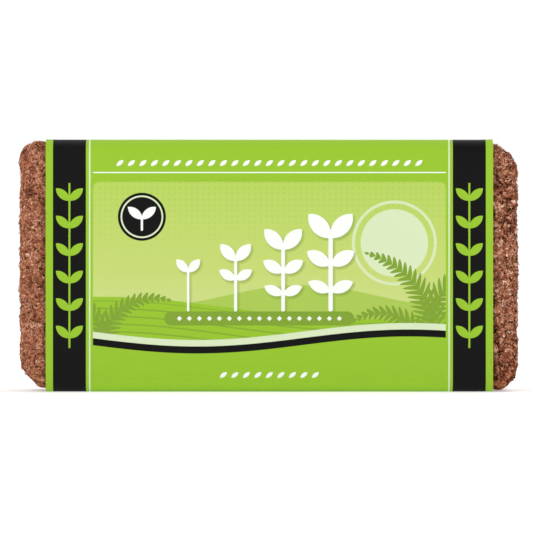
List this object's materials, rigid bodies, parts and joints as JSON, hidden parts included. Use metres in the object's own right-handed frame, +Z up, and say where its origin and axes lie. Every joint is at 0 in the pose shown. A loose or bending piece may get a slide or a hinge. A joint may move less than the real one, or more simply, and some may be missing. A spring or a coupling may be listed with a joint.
{
  "type": "coconut coir brick",
  "caption": "Pressed coconut coir brick standing on its long narrow side, wrapped round the middle in a printed card sleeve with both ends bare.",
  "frame": {"origin": "on the surface that the brick stands on, below the centre of its bounding box", "axes": "+X along the brick, to the right seen from the printed front; -Y out of the printed front; +Z up"},
  "size_m": [0.2, 0.055, 0.101],
  "materials": {
    "coir": "matte",
    "printed_card": "satin"
  },
  "bodies": {
    "root": {"coir_block": "coir", "card_sleeve": "printed_card"}
  },
  "joints": []
}
